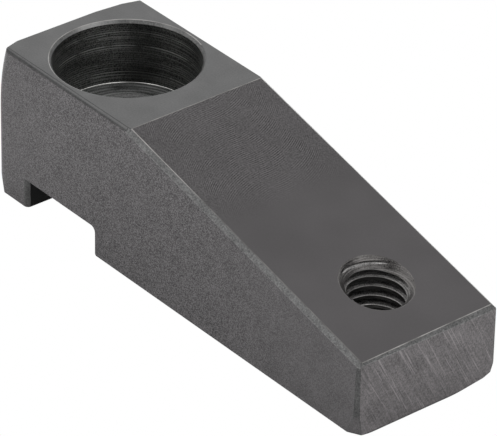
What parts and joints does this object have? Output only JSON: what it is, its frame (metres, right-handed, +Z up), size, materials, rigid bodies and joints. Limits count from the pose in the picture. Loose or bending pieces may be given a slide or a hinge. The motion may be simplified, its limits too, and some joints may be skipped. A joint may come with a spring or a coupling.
{
  "type": "strap clamp",
  "caption": "Machined strap clamp: square bar with a counterbored screw hole in its tall heel, a cross groove underneath, and a tapped hole through its sloping nose.",
  "frame": {"origin": "middle of the bar's length and width, in the plane that the foot and the sole rest on", "axes": "+X along the bar from the heel to the nose, +Y across it, +Z up along the screw hole's axis"},
  "size_m": [0.0666, 0.02, 0.02],
  "materials": {
    "black_oxide_steel": "black oxide over milled and ground steel"
  },
  "bodies": {
    "root": {"clamp_strap": "black_oxide_steel"}
  },
  "joints": []
}
